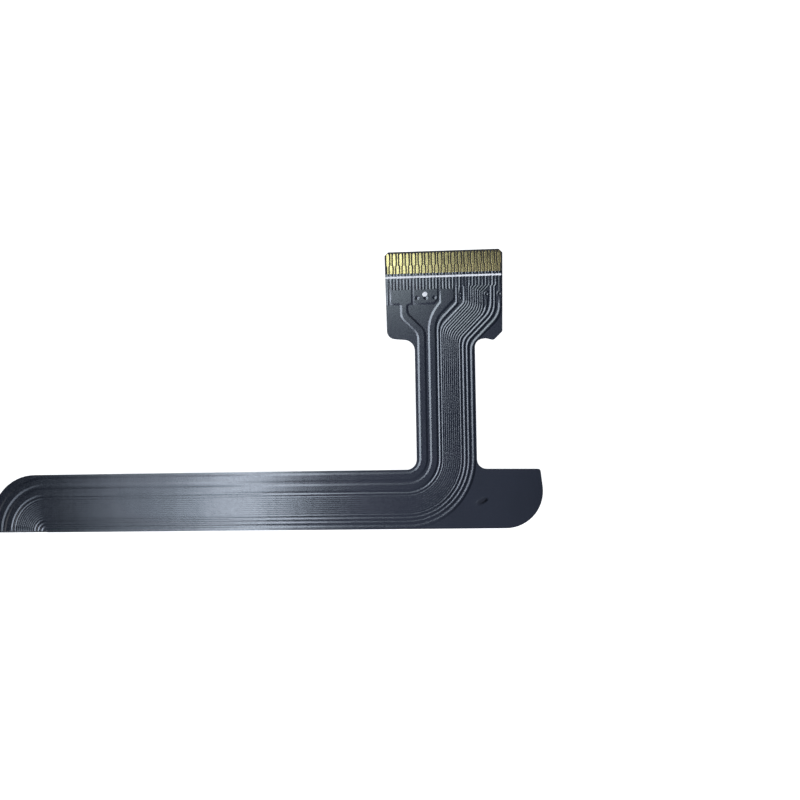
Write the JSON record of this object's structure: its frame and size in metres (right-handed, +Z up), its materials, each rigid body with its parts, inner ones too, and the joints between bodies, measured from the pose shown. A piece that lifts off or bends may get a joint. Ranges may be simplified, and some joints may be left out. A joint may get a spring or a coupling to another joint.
{
  "type": "flat flex cable",
  "caption": "Flat flexible printed circuit with a gold contact tail on a short stem, embossed traces along a long strip, and a folded far end.",
  "frame": {"origin": "bottom centre of the whole cable's box, on the surface that the cable lies on", "axes": "+X along the strip towards its rounded end, +Y from the strip up the stem to the contact tail, +Z up from the surface it lies on, towards the contacts"},
  "size_m": [0.052, 0.0252, 0.0002],
  "materials": {
    "copper": "satin",
    "gold": "satin",
    "dark_film": "satin",
    "polyimide": "gloss",
    "stiffener": "matt",
    "adhesive": "matt",
    "white_ink": "matt"
  },
  "bodies": {
    "root": {"edge_contact_01": "copper", "supply_conductor": "copper", "ground_island": "copper", "return_conductor": "copper", "signal_conductor_22": "copper", "contact_23_stub": "copper", "signal_conductor_23": "copper", "signal_conductor_24": "copper", "signal_conductor_25": "copper", "signal_conductor_26": "copper", "signal_conductor_27": "copper", "signal_conductor_28": "copper", "signal_conductor_29": "copper", "signal_conductor_30": "copper", "signal_conductor_31": "copper", "signal_conductor_32": "copper", "signal_conductor_33": "copper", "signal_conductor_34": "copper", "signal_conductor_35": "copper", "leg_ground_strip": "copper", "back_ground_plane": "copper", "back_jumper": "copper", "plated_holes": "copper", "base_film": "polyimide", "back_cover_film": "dark_film", "top_cover_film": "dark_film", "tail_contact_plating": "gold", "leg_contact_plating": "gold", "tail_stiffener": "stiffener", "stiffener_adhesive": "adhesive", "back_cover_adhesive": "adhesive", "top_cover_adhesive": "adhesive", "fold_tape": "adhesive", "printed_line": "white_ink", "printed_dot": "white_ink"}
  },
  "joints": []
}
